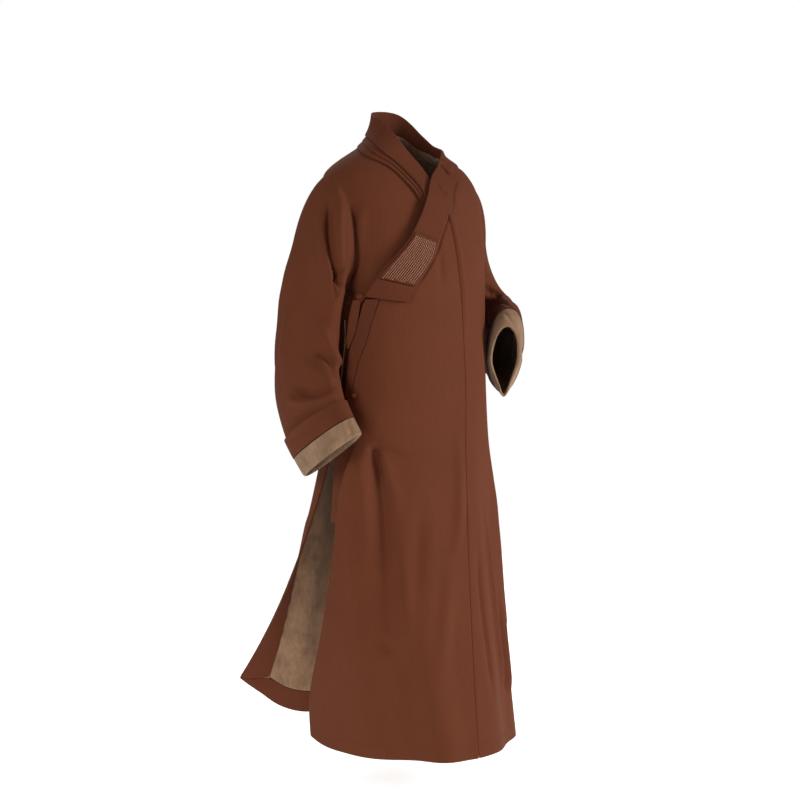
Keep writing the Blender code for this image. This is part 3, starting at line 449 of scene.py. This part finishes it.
# %% Creases in view
VIEW_CREASES = (
    # direction, places in the frame, reach, height, fade at each end
    ("body", ((450, 206), (457, 242), (462, 275), (465, 306), (467, 350)), 0.0065, 0.0060, (0.2, 0.5)),
    ("body", ((457.5, 178), (454, 191), (452.7, 206), (447.2, 222), (441.7, 238), (436.5, 254), (427.5, 270),
              (417, 286)), 0.0035, -0.0024, (0.1, 0.1)),
    ("body", ((440, 248), (441, 264), (442, 290)), 0.010, -0.0040, (0.4, 0.5)),
    ("body", ((440, 163.5), (443, 166), (446.5, 170), (450, 177)), 0.0050, -0.0060, (0.1, 0.4)),
    ("body", ((441, 159), (445, 161.5), (449.5, 166), (452, 172)), 0.0055, 0.0050, (0.2, 0.4)),
    ("body", ((435.5, 182), (439, 187), (443, 191.5), (449, 196)), 0.0050, -0.0035, (0.2, 0.3)),
    ("body", ((438, 149), (439, 155), (440.6, 161)), 0.0050, 0.0025, (0.2, 0.3)),
    ("body", ((366, 448), (373, 456), (379, 482), (384, 520), (387, 560), (388, 613)), 0.013, -0.0105, (0.1, 0.5)),
    ("body", ((367, 446), (373, 455), (377, 470), (381, 494)), 0.007, -0.0085, (0.15, 0.4)),
    ("body", ((361, 450), (364, 480), (368, 530), (370, 580)), 0.013, 0.0080, (0.2, 0.6)),
    ("body", ((370, 449), (384, 462), (394, 490), (399, 530)), 0.013, 0.0065, (0.2, 0.7)),
    ("body", ((368, 446), (392, 452), (420, 470)), 0.010, -0.0040, (0.2, 0.7)),
    ("body", ((373, 636), (383, 646), (396, 655)), 0.014, -0.0050, (0.4, 0.4)),
    ("body", ((408, 560), (404, 620), (400, 680)), 0.022, 0.0090, (0.4, 0.4)),
    ("body", ((424, 480), (418, 560), (414, 640)), 0.020, -0.0090, (0.4, 0.4)),
    ("body", ((452, 540), (446, 620), (442, 690)), 0.020, 0.0090, (0.4, 0.4)),
    ("body", ((456, 420), (460, 480), (457, 540), (449, 575)), 0.013, 0.0075, (0.4, 0.4)),
    ("body", ((483, 480), (489, 570), (497, 635), (506, 703)), 0.010, 0.0100, (0.4, 0.2)),
    ("body", ((477, 520), (483, 600), (490, 660), (496, 705)), 0.009, -0.0085, (0.4, 0.2)),
    ("body", ((494, 590), (500, 640), (507, 700)), 0.008, -0.0085, (0.4, 0.2)),
    ("body", ((499, 580), (505, 637), (512, 700)), 0.008, 0.0080, (0.4, 0.2)),
    ("body", ((355, 196), (352.5, 222), (352, 247), (350, 265), (346, 285), (343.5, 298)), 0.009, -0.0130, (0.25, 0.2)),
    ("body", ((362, 200), (361, 225), (360, 250), (357, 275)), 0.012, 0.0050, (0.3, 0.5)),
    ("body", ((372, 290), (366, 280), (362, 262), (366, 240)), 0.010, -0.0035, (0.3, 0.5)),
    ("right", ((330, 190), (329.5, 222), (332, 247), (337, 272), (342, 293)), 0.0085, -0.0180, (0.35, 0.1)),
    ("right", ((321, 198), (320, 225), (323, 250), (329, 275), (335, 300)), 0.011, 0.0100, (0.35, 0.3)),
    ("right", ((341, 196), (341, 225), (342, 250), (344, 272)), 0.009, 0.0080, (0.35, 0.3)),
    ("right", ((307, 215), (303, 250), (304, 290), (310, 330)), 0.016, -0.0060, (0.4, 0.4)),
    ("right", ((311, 312), (322, 334), (335, 355), (341, 368)), 0.012, 0.0120, (0.35, 0.2)),
    ("right", ((313, 357), (322, 356), (330, 362), (338, 380)), 0.007, -0.0120, (0.25, 0.45)),
    ("right", ((297, 362), (312, 368), (326, 378), (335, 387)), 0.011, 0.0060, (0.4, 0.2)),
    ("right", ((291, 384), (305, 391), (320, 392), (338, 386)), 0.008, -0.0125, (0.3, 0.35)),
    ("right", ((285, 398), (303, 403), (320, 401), (337, 393)), 0.009, 0.0110, (0.3, 0.1)),
    ("right", ((285, 420), (300, 417), (316, 410), (330, 400)), 0.008, -0.0060, (0.4, 0.2)),
    ("right", ((285, 434), (298, 427), (314, 415), (333, 401)), 0.008, 0.0080, (0.1, 0.1)),
    ("right", ((290, 300), (286, 345), (284, 390)), 0.014, 0.0050, (0.4, 0.4)),
    ("right", ((329, 428), (335, 438), (343, 449)), 0.0040, -0.0030, (0.2, 0.2)),
    ("right", ((322, 432), (318, 444), (312, 455)), 0.0050, -0.0025, (0.3, 0.2)),
    ("right", ((345, 420), (350, 428), (352, 436)), 0.0045, -0.0030, (0.3, 0.2)),
    ("right", ((300, 452), (306, 460), (309, 468)), 0.0050, -0.0020, (0.3, 0.3)),
    ("left", ((503, 311), (511, 320), (516, 334)), 0.0050, -0.0030, (0.3, 0.3)),
    ("left", ((489, 312), (487, 320), (489, 328)), 0.0040, -0.0035, (0.3, 0.3)),
    ("left", ((518, 345), (514, 362), (508, 380)), 0.0060, -0.0040, (0.3, 0.3)),
    ("left", ((480, 238), (486, 250), (491, 254)), 0.008, -0.0050, (0.3, 0.1)),
    ("left", ((480, 262), (488, 266), (494, 272)), 0.009, 0.0060, (0.3, 0.1)),
    ("left", ((484, 279), (492, 281), (499, 281)), 0.006, -0.0040, (0.3, 0.1)),
    ("left", ((484, 284), (494, 286), (503, 290)), 0.005, 0.0030, (0.3, 0.1)),
    ("left", ((484, 290), (492, 293), (503, 297)), 0.006, -0.0045, (0.3, 0.1)),
    ("left", ((484, 297), (498, 299), (511, 305)), 0.006, 0.0030, (0.3, 0.1)),
    ("left", ((488, 303), (500, 304), (512, 310)), 0.005, -0.0030, (0.3, 0.1)),
)
CREASES = []
for side, spots, reach, height, fade in VIEW_CREASES:
    path = seen(solid_tree, spots)
    if len(path) > 1:
        CREASES.append((side, path, reach, height, fade))
print("creases in view", len(CREASES))

# %% [markdown]
# Similar creases are given to the hidden back and sides, since cloth that hangs from shoulders
# folds there too. They are listed in metres, uneven in length, depth and spacing.

# %% Creases out of view
HIDDEN_CREASES = (
    ("body", ((0.150, -0.140, -0.640), (0.170, -0.145, -0.840), (0.186, -0.160, -1.080), (0.206, -0.160, -1.345)),
     0.014, 0.0060, (0.4, 0.0)),
    ("body", ((0.185, -0.060, -0.620), (0.215, -0.060, -0.860), (0.240, -0.060, -1.345)), 0.018, -0.0080, (0.4, 0.0)),
    ("body", ((0.150, -0.110, -0.310), (0.165, -0.100, -0.360), (0.170, -0.090, -0.440)), 0.014, -0.0040, (0.4, 0.5)),
    ("body", ((0.080, 0.120, -0.120), (0.100, 0.125, -0.260), (0.105, 0.130, -0.420)), 0.022, 0.0080, (0.4, 0.5)),
    ("body", ((-0.090, 0.118, -0.120), (-0.110, 0.122, -0.250), (-0.112, 0.124, -0.430)), 0.022, 0.0080, (0.4, 0.5)),
    ("body", ((0.030, 0.125, -0.520), (0.045, 0.165, -0.860), (0.070, 0.235, -1.345)), 0.020, 0.0110, (0.4, 0.0)),
    ("body", ((0.085, 0.115, -0.560), (0.105, 0.160, -0.900), (0.145, 0.205, -1.345)), 0.022, -0.0110, (0.4, 0.0)),
    ("body", ((-0.050, 0.125, -0.560), (-0.060, 0.175, -0.880), (-0.060, 0.260, -1.345)), 0.022, -0.0110, (0.4, 0.0)),
    ("body", ((-0.110, 0.120, -0.600), (-0.125, 0.180, -0.900), (-0.140, 0.290, -1.320)), 0.020, 0.0090, (0.4, 0.0)),
    ("body", ((0.150, 0.090, -0.560), (0.185, 0.110, -0.860), (0.225, 0.140, -1.345)), 0.018, 0.0090, (0.4, 0.0)),
    ("right", ((-0.280, 0.020, -0.300), (-0.287, 0.050, -0.420), (-0.292, 0.060, -0.520)), 0.022, 0.0070, (0.4, 0.4)),
    ("right", ((-0.262, 0.090, -0.200), (-0.270, 0.110, -0.300), (-0.272, 0.125, -0.400)), 0.016, 0.0080, (0.4, 0.4)),
    ("right", ((-0.250, 0.130, -0.380), (-0.270, 0.120, -0.470), (-0.285, 0.090, -0.560)), 0.012, -0.0090, (0.4, 0.4)),
    ("left", ((0.215, -0.050, -0.310), (0.243, -0.035, -0.330), (0.270, -0.010, -0.345)), 0.009, -0.0050, (0.3, 0.3)),
    ("left", ((0.255, 0.030, -0.160), (0.275, 0.060, -0.260), (0.290, 0.080, -0.350)), 0.018, 0.0080, (0.4, 0.4)),
    ("left", ((0.270, 0.110, -0.280), (0.285, 0.110, -0.380), (0.290, 0.070, -0.470)), 0.014, -0.0090, (0.4, 0.4)),
    ("left", ((0.288, -0.030, -0.420), (0.296, 0.010, -0.460), (0.290, 0.060, -0.500)), 0.014, 0.0070, (0.4, 0.4)),
)
for side, path, reach, height, fade in HIDDEN_CREASES:
    on_cloth = []
    for spot, way in zip(path, AWAY[side](np.array(path, float))):
        found, _, _, _ = solid_tree.ray_cast(Vector(spot) + Vector(way) * 0.12, -Vector(way), 0.24)
        if found is not None:
            on_cloth.append(tuple(found))
    if len(on_cloth) > 1:
        CREASES.append((side, on_cloth, reach, height, fade))


def press(piece, widest=0.0135):
    """Presses every crease near the piece, after dividing its faces once more at the narrow ones.

    The creases of a sleeve move only the sleeve and its cuff, and fade out at the armhole.
    """
    centres = np.empty(len(piece.data.polygons) * 3, np.float32)
    piece.data.polygons.foreach_get("center", centres)
    centres = centres.reshape(-1, 3).astype(float)
    fine = np.zeros(len(centres), bool)
    for _, path, reach, _, _ in CREASES:
        if reach < widest:
            line = rounded(path)
            chosen = np.flatnonzero(near_path(centres, line, 2 * reach))
            gaps = np.full(len(chosen), 1e9)
            for spot in line:
                gaps = np.minimum(gaps, np.linalg.norm(centres[chosen] - spot, axis=1))
            fine[chosen[gaps < 2 * reach]] = True
    if fine.any():
        only(piece)
        bpy.ops.object.mode_set(mode="EDIT")
        bpy.ops.mesh.select_mode(type="FACE")
        bpy.ops.mesh.select_all(action="DESELECT")
        bpy.ops.object.mode_set(mode="OBJECT")
        piece.data.polygons.foreach_set("select", fine)
        bpy.ops.object.mode_set(mode="EDIT")
        bpy.ops.mesh.subdivide(number_cuts=1, smoothness=0.0)
        bpy.ops.object.mode_set(mode="OBJECT")
        bpy.ops.object.shade_smooth()
    points = points_of(piece)
    share = np.full(len(points), 1.0 if "cuff" in piece.name else 0.0, np.float32)
    if "sleeve_share" in piece.data.attributes:
        piece.data.attributes["sleeve_share"].data.foreach_get("value", share)
    for side, path, reach, height, fade in CREASES:
        moved = crease(points, AWAY[side], np.array(path), reach, height, fade)
        points = moved if side == "body" else points + (moved - points) * share[:, None]
    put_points(piece, points)
    return piece


print("creases in all", len(CREASES))

# %% [markdown]
# On the real robe no seam shows at the armhole. The solids are parted there, because each is a
# closed wall, so here the sleeve's first ring is moved onto the edge of the armhole, the two
# rims are taken away, and both faces of the wall are sewn through.

# %% Sewing a sleeve to its half
def wall_edges(piece):
    """The short edges that join the two faces of a wall along its rims, and their middles."""
    points = points_of(piece)
    ends = np.empty(len(piece.data.edges) * 2, np.int32)
    piece.data.edges.foreach_get("vertices", ends)
    ends = ends.reshape(-1, 2)
    short = np.linalg.norm(points[ends[:, 0]] - points[ends[:, 1]], axis=1) < 0.0032
    return ends[short], points[ends[short]].mean(axis=1)


def outer_first(ends, points, away):
    """Swaps the ends of each edge where the second one is further out."""
    way = away(points[ends].mean(axis=1))
    swap = ((points[ends[:, 1]] - points[ends[:, 0]]) * way).sum(axis=1) > 0
    ends[swap] = ends[swap][:, ::-1]
    return ends


def sewn(body_node, sleeve_node, side, shift, levels):
    sleeve = merged_copy(sleeve_node, cloth, plush, AWAY[side])
    half = merged_copy(body_node, cloth, plush, from_body_axis)
    for made, share in ((sleeve, 1.0), (half, 0.0)):
        mark = made.data.attributes.new("sleeve_share", "FLOAT", "POINT")
        mark.data.foreach_set("value", np.full(len(made.data.vertices), share, np.float32))
    first = len(half.data.vertices)
    half_ends, half_middle = wall_edges(half)
    sleeve_ends, sleeve_middle = wall_edges(sleeve)
    pairs = []
    for k, middle in enumerate(sleeve_middle):
        gap = np.linalg.norm(half_middle + np.array([shift, 0.0, 0.0]) - middle, axis=1)
        if gap.min() < 0.0008:
            pairs.append((gap.argmin(), k))
    half_ends = half_ends[[a for a, _ in pairs]]
    sleeve_ends = sleeve_ends[[b for _, b in pairs]]
    half_ends = outer_first(half_ends, points_of(half), from_body_axis)
    centre = sleeve_middle[[b for _, b in pairs]].mean(axis=0)
    sleeve_ends = outer_first(sleeve_ends, points_of(sleeve), lambda points: points - centre)
    only(half)
    sleeve.select_set(True)
    bpy.ops.object.join()
    points = points_of(half)
    sleeve_ends = sleeve_ends + first
    spots = (points[half_ends] + points[sleeve_ends]) / 2
    points[half_ends] = spots
    points[sleeve_ends] = spots
    put_points(half, points)
    ring = set(half_ends.ravel().tolist()) | set(sleeve_ends.ravel().tolist())
    rim = [all(v in ring for v in face.vertices) for face in half.data.polygons]
    bpy.ops.object.mode_set(mode="EDIT")
    bpy.ops.mesh.select_mode(type="FACE")
    bpy.ops.mesh.select_all(action="DESELECT")
    bpy.ops.object.mode_set(mode="OBJECT")
    half.data.polygons.foreach_set("select", rim)
    bpy.ops.object.mode_set(mode="EDIT")
    bpy.ops.mesh.delete(type="FACE")
    bpy.ops.mesh.select_all(action="SELECT")
    bpy.ops.mesh.remove_doubles(threshold=0.00002)
    bpy.ops.object.mode_set(mode="OBJECT")
    flat = spots.reshape(-1, 3)
    points = points_of(half)
    on_ring = np.array([np.linalg.norm(flat - p, axis=1).min() < 0.0001 for p in points])
    sharp = half.data.attributes["crease_edge"]
    values = np.empty(len(half.data.edges), np.float32)
    sharp.data.foreach_get("value", values)
    ends = np.empty(len(half.data.edges) * 2, np.int32)
    half.data.edges.foreach_get("vertices", ends)
    values[on_ring[ends.reshape(-1, 2)].all(axis=1)] = 0.0
    sharp.data.foreach_set("value", values)
    print(body_node, "and", sleeve_node, "sewn at", len(pairs), "places, rim faces", sum(rim))
    return smoothed(half, levels)


# %% [markdown]
# The panels come next: the left half in one with its front, the right half, and the lapped
# front that closes over it. The plush inside the open slit and the facings that frame it lie
# on the back panel, so the same creases move them and they stay together.

# %% The body panels
PIECES = {}
BODY_PARTS = (
    ("collar_band", 3, trim),
    ("collar_layer_middle", 3, trim),
    ("collar_layer_lower", 3, trim),
    ("stitched_patch", 2, trim),
    ("end_patch", 3, trim),
    ("slit_facing", 3, trim),
    ("hem_facing", 3, trim),
    ("back_plush", 3, plush),
    ("edge_fold", 3, trim),
    ("side_tie", 3, cloth),
)
for node, levels, finish in BODY_PARTS:
    made = press(smoothed(merged_copy(node, finish), levels))
    PIECES[node] = made
    print(node, len(made.data.polygons) * 2, "triangles")

# %% The two halves with their sleeves, and the lap
for side, shift in (("right", -0.005), ("left", 0.005)):
    made = press(sewn("body_" + side, "sleeve_" + side, side, shift, 2))
    made.name = "half_" + side
    PIECES["body_" + side] = made
    print("half", side, len(made.data.polygons) * 2, "triangles")
PIECES["lap_front"] = press(smoothed(merged_copy("lap_front", cloth, plush, from_body_axis), 3), 0.0095)
print("lap_front", len(PIECES["lap_front"].data.polygons) * 2, "triangles")

# %% [markdown]
# The turned-back cuff lies over the sleeve's end. Its brown facing stands off the sleeve by the
# thickness of the fold, which shows as a clear step along its upper edge.

# %% Cuffs
for side in ("right", "left"):
    for kind, finish, out in (("cuff_facing_", trim, 0.0012), ("cuff_plush_", plush, 0.0)):
        made = press(smoothed(merged_copy(kind + side, finish), 3))
        points = points_of(made)
        put_points(made, points + AWAY[side](points) * out)
        PIECES[kind + side] = made
        print(kind + side, len(made.data.polygons) * 2, "triangles")

# %% [markdown]
# The left sleeve hangs from a bent arm, so below the hand its mouth falls together into a slit.
# The sleeve's end and both parts of the cuff are squeezed there alike.

# %% The slit of the left cuff
MOUTH = np.array([0.150, -0.175, -0.482])
ALONG = np.array([-0.64, -0.67, -0.37])
ACROSS = np.array([0.723, -0.690, 0.0])


def squeezed(piece, share):
    points = points_of(piece)
    off = points - MOUTH
    low = eased((0.020 - off[:, 2]) / 0.085)
    near = eased(1.0 - np.abs(off @ ALONG) / 0.105) * (np.linalg.norm(off, axis=1) < 0.16)
    shift = (off @ ACROSS) * low * near * 0.62 * share
    put_points(piece, points - shift[:, None] * ACROSS)


for name in ("body_left", "cuff_facing_left", "cuff_plush_left"):
    share = np.ones(len(PIECES[name].data.vertices), np.float32)
    if "sleeve_share" in PIECES[name].data.attributes:
        PIECES[name].data.attributes["sleeve_share"].data.foreach_get("value", share)
    squeezed(PIECES[name], share)
print("left cuff drawn together")

# %% [markdown]
# The patch on the lapping band is covered in rows of pale stitches. One stitch is modelled as
# a short swollen capsule, and the rows of the patch are sampled between its four corners and
# dropped onto the cloth under them, so every stitch lies on it.

# %% Finding the cloth under a point
def surface_of(*names):
    """A search tree of the outer cloth of these pieces."""
    corners = []
    faces = []
    for name in names:
        mesh = PIECES[name].data
        first = len(corners)
        corners.extend(tuple(v.co) for v in mesh.vertices)
        faces.extend([tuple(first + i for i in f.vertices) for f in mesh.polygons])
    return BVHTree.FromPolygons(corners, faces)


def dropped(tree, point, outward, start=0.02):
    """Where a ray from just outside meets the cloth, and the cloth's facing there."""
    outward = Vector(outward).normalized()
    spot, facing, _, _ = tree.ray_cast(Vector(point) + outward * start, -outward, 0.08)
    if spot is None:
        return None, None
    return spot, facing if facing.dot(outward) > 0 else -facing


print("surface search ready")

# %% Stitches as one mesh
def stitch_rows(name, tree, lines, length, gap, radius, finish, lift=0.0002, outward=None):
    """Short capsules laid end to end along each line, sunk halfway into the cloth."""
    sides = 6
    rings = ((-0.5, 0.25), (-0.34, 0.85), (0.0, 1.0), (0.34, 0.85), (0.5, 0.25))
    corners = []
    faces = []
    for line in lines:
        line = rounded(line, 10)
        spans = np.linalg.norm(np.diff(line, axis=0), axis=1)
        total = spans.sum()
        marks = np.concatenate([[0.0], np.cumsum(spans)])
        for middle in np.arange(gap / 2 + length / 2, total - length / 2, length + gap):
            ends = []
            for mark in (middle - length / 2, middle + length / 2):
                raw = np.array([np.interp(mark, marks, line[:, k]) for k in range(3)])
                way = Vector(outward) if outward else Vector(from_body_axis(raw[None, :])[0])
                spot, facing = dropped(tree, raw, way)
                ends.append((spot, facing))
            if ends[0][0] is None or ends[1][0] is None:
                continue
            a = ends[0][0]
            b = ends[1][0]
            up = (ends[0][1] + ends[1][1]).normalized()
            run = b - a
            if run.length > 2.0 * length or run.length < 0.3 * length:
                continue
            across = run.cross(up).normalized()
            up = across.cross(run).normalized()
            first = len(corners)
            for t, swell in rings:
                centre = (a + b) / 2 + run * t + up * (lift + radius * 0.35 * swell)
                for k in range(sides):
                    angle = 2 * math.pi * k / sides
                    spoke = across * math.cos(angle) + up * math.sin(angle) * 0.8
                    corners.append(tuple(centre + spoke * radius * swell))
            for ring in range(len(rings) - 1):
                for k in range(sides):
                    p = first + ring * sides + k
                    q = first + ring * sides + (k + 1) % sides
                    faces.append((p, q, q + sides, p + sides))
            faces.append(tuple(first + k for k in range(sides))[::-1])
            last = first + (len(rings) - 1) * sides
            faces.append(tuple(last + k for k in range(sides)))
    mesh = bpy.data.meshes.new(name)
    mesh.from_pydata(corners, [], faces)
    mesh.update()
    made = bpy.data.objects.new(name, mesh)
    bpy.context.scene.collection.objects.link(made)
    only(made)
    bpy.ops.object.mode_set(mode="EDIT")
    bpy.ops.mesh.select_all(action="SELECT")
    bpy.ops.mesh.normals_make_consistent(inside=False)
    bpy.ops.object.mode_set(mode="OBJECT")
    bpy.ops.object.shade_smooth()
    mesh.materials.append(finish)
    print(name, len(faces), "faces")
    return made


# %% The stitched patch
front = surface_of("stitched_patch", "collar_band", "end_patch", "lap_front", "body_left", "body_right", "edge_fold")
inner_side = np.array([(416.5, 235.5), (408.5, 246.5), (394.5, 262.5), (381.5, 278.5)])
outer_side = np.array([(436.5, 243.0), (433.5, 255.0), (425.0, 270.0), (414.0, 284.5)])
ROWS = 14
rows = []
for k in range(ROWS):
    share = (k + 0.5) / ROWS
    rows.append(seen(front, inner_side * (1 - share) + outer_side * share))
stitches = [stitch_rows("patch_stitches", front, rows, 0.0042, 0.0006, 0.00050, thread)]

# %% [markdown]
# Every edge that was turned and sewn down has a row of small stitches in the cloth's own brown:
# both edges of the band, the folds across it, the patches, the closing edge and the hem.

# %% Edge stitches
EDGE_LINES = (
    ((455.0, 177.0), (451.5, 191.0), (450.0, 206.0), (444.5, 222.0), (438.8, 238.0), (433.3, 254.0),
     (424.0, 270.0), (414.0, 284.0)),
    ((403.0, 165.5), (411.5, 174.5), (420.0, 184.0), (426.0, 193.0), (427.0, 206.0), (423.0, 215.0),
     (416.3, 230.0), (406.5, 246.0), (392.0, 262.5), (378.5, 278.5)),
    ((431.0, 195.0), (440.0, 197.5), (448.0, 197.0)),
    ((426.0, 211.0), (433.0, 218.0), (440.5, 224.5)),
    ((415.0, 231.5), (427.0, 235.5), (438.5, 239.0)),
    ((373.5, 287.5), (392.0, 288.5), (411.0, 289.8)),
    ((372.0, 296.0), (390.0, 297.5), (406.0, 299.0)),
    ((376.0, 304.0), (368.0, 330.0), (360.0, 357.0), (356.0, 380.0)),
)
edge_lines = [seen(front, spots) for spots in EDGE_LINES]
edge_lines = [line for line in edge_lines if len(line) > 1]


def lines_round(tree, height, turns):
    """Points round the robe at one height, in unbroken runs."""
    runs = [[]]
    for turn in turns:
        way = Vector((math.cos(math.radians(turn)), math.sin(math.radians(turn)), 0.0))
        spot, _, _, _ = tree.ray_cast(Vector((-0.006, 0.0, height)) + way * 0.7, -way)
        if spot is None or (runs[-1] and (spot - Vector(runs[-1][-1])).length > 0.04):
            runs.append([])
        if spot is not None:
            runs[-1].append(tuple(spot))
    return [run for run in runs if len(run) > 3]


hem_lines = lines_round(front, -1.317, np.arange(-176.0, 184.0, 4.0))
stitches.append(stitch_rows("edge_stitches", front, edge_lines, 0.0034, 0.0016, 0.00036, dark_thread))
stitches.append(stitch_rows("hem_stitches", front, hem_lines, 0.0036, 0.0024, 0.00036, dark_thread))
for made in stitches:
    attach(made, "root")

# %% [markdown]
# The side closes with two knots of cord, each pushed through a loop that lies on the cloth. A
# knot is three strands of cord crossing over a round core.

# %% Knots
def cord_ring(where, turn, major, minor):
    bpy.ops.mesh.primitive_torus_add(
        location=where, rotation=turn, major_radius=major, minor_radius=minor,
        major_segments=40, minor_segments=12,
    )
    return bpy.context.object


for node in ("knot_upper", "knot_lower"):
    low, high = (Vector(corner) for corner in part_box(node))
    middle = (low + high) / 2
    radius = (high - low).length / math.sqrt(3) / 2
    out = Vector(from_body_axis(np.array([middle]))[0])
    facing = out.to_track_quat("Z", "Y")
    bpy.ops.mesh.primitive_uv_sphere_add(location=middle, radius=radius * 0.70, segments=24, ring_count=16)
    strands = [bpy.context.object]
    for tilt in (-1.0, 0.05, 1.05):
        turn = facing.to_euler()
        turn.rotate_axis("Z", tilt)
        turn.rotate_axis("X", 1.15)
        strands.append(cord_ring(middle, turn, radius * 0.60, radius * 0.33))
    loop = cord_ring(middle - out * radius * 0.45, facing.to_euler(), radius * 1.12, radius * 0.26)
    strands.append(loop)
    only(strands[0])
    for strand in strands:
        strand.select_set(True)
    bpy.ops.object.join()
    knot = bpy.context.object
    knot.name = node + "_tied"
    bpy.ops.object.transform_apply(location=True, rotation=True, scale=True)
    bpy.ops.object.shade_smooth()
    knot.data.materials.clear()
    knot.data.materials.append(trim)
    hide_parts(node)
    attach(knot, "root")
    print(knot.name, "radius", round(radius, 4))

# %% [markdown]
# The thin pale tie of the inner front hangs free between the sleeve and the side. It is one
# round cord along the middle of its solid.

# %% The hanging cord
only(nodes["side_cord"])
tie_points = np.unique(np.round([nodes["side_cord"].matrix_world @ v.co for v in nodes["side_cord"].data.vertices], 6), axis=0)
tie_points = tie_points[np.argsort(-tie_points[:, 2])]
tie_path = tie_points[: len(tie_points) // 6 * 6].reshape(-1, 6, 3).mean(axis=1)
TIE_WIDTH = 0.0026
line = bpy.data.curves.new("side_tie_cord", "CURVE")
line.dimensions = "3D"
line.bevel_depth = TIE_WIDTH / 2
line.bevel_resolution = 4
line.use_fill_caps = True
run = line.splines.new("POLY")
run.points.add(len(tie_path) - 1)
for place, spot in zip(run.points, tie_path):
    place.co = (*spot, 1.0)
tie = bpy.data.objects.new("side_tie_cord", line)
bpy.context.scene.collection.objects.link(tie)
line.materials.append(cord_finish)
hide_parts("side_cord")
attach(tie, "root")

# %% [markdown]
# The robe stands in a plain pale room with soft studio light from the wearer's front, a little
# stronger from the camera's left.

# %% Floor and light
FLOOR = cad_box[0][2] - 0.125
bpy.ops.mesh.primitive_plane_add(size=4.0, location=(0.0, 0.0, FLOOR))
floor = bpy.context.object
floor.name = "floor"
only(floor)
bpy.ops.object.transform_apply(location=True, rotation=True, scale=True)
pale = bpy.data.materials.new("pale_floor")
pale.use_nodes = True
pale.node_tree.nodes["Principled BSDF"].inputs["Base Color"].default_value = (0.86, 0.86, 0.86, 1.0)
pale.node_tree.nodes["Principled BSDF"].inputs["Roughness"].default_value = 0.9
pale.node_tree.nodes["Principled BSDF"].inputs["Emission Color"].default_value = (1.0, 1.0, 1.0, 1.0)
pale.node_tree.nodes["Principled BSDF"].inputs["Emission Strength"].default_value = 0.76
floor.data.materials.append(pale)


def soft_light(name, where, target, size, power):
    bpy.ops.object.light_add(type="AREA", location=where)
    lamp = bpy.context.object
    lamp.name = name
    way = Vector(where) - Vector(target)
    lamp.rotation_euler = way.to_track_quat("Z", "Y").to_euler()
    lamp.data.shape = "DISK"
    lamp.data.size = size
    lamp.data.energy = power
    return lamp


soft_light("key", (2.4, -3.0, 0.7), (0.0, 0.0, -0.6), 1.6, 140.0)
soft_light("side", (-3.8, -0.9, 1.2), (0.0, 0.0, -0.6), 1.8, 80.0)
soft_light("rim", (1.5, 3.0, 2.0), (0.0, 0.0, -0.5), 2.5, 40.0)
world = bpy.data.worlds.new("studio")
bpy.context.scene.world = world
world.use_nodes = True
world.node_tree.nodes["Background"].inputs["Color"].default_value = (1.0, 1.0, 1.0, 1.0)
straight = Shade(world.node_tree, world.node_tree.nodes.new("ShaderNodeLightPath").outputs["Is Camera Ray"])
join(world.node_tree, straight * 0.78 + 0.22, world.node_tree.nodes["Background"].inputs["Strength"])
bpy.context.scene.view_settings.view_transform = "Standard"
print("floor at", round(FLOOR, 3))

# %% [markdown]
# Last, each solid that a cloth piece replaces is hidden, with the sleeves of the two halves, and
# the piece is tied to the root. The table also lists the flat size each piece was cut to.

# %% Hiding the solids
SHEETS = {
    "body_left": ((1.06, 1.46), 0.966),
    "body_right": ((0.90, 1.46), 0.856),
    "lap_front": ((0.48, 1.24), 0.378),
    "collar_band": ((0.098, 0.72), None),
    "collar_layer_middle": ((0.022, 0.40), None),
    "collar_layer_lower": ((0.024, 0.41), None),
    "stitched_patch": ((0.068, 0.128), None),
    "end_patch": ((0.052, 0.075), None),
    "cuff_facing_right": ((0.055, 0.45), None),
    "cuff_facing_left": ((0.062, 0.46), None),
    "cuff_plush_right": ((0.105, 0.45), None),
    "cuff_plush_left": ((0.108, 0.46), None),
    "slit_facing": ((0.062, 0.70), 0.0285),
    "hem_facing": ((0.060, 0.33), 0.0175),
    "back_plush": ((0.30, 0.66), 0.144),
    "edge_fold": ((0.030, 0.24), 0.0059),
    "side_tie": ((0.026, 0.11), 0.0022),
}
for node, (flat, area) in SHEETS.items():
    piece = PIECES[node]
    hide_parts(node)
    if node.startswith("body_"):
        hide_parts(node.replace("body_", "sleeve_"))
    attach(piece, "root")
    "plush" if "plush" in node else "cloth"
print("sheets declared", len(SHEETS))
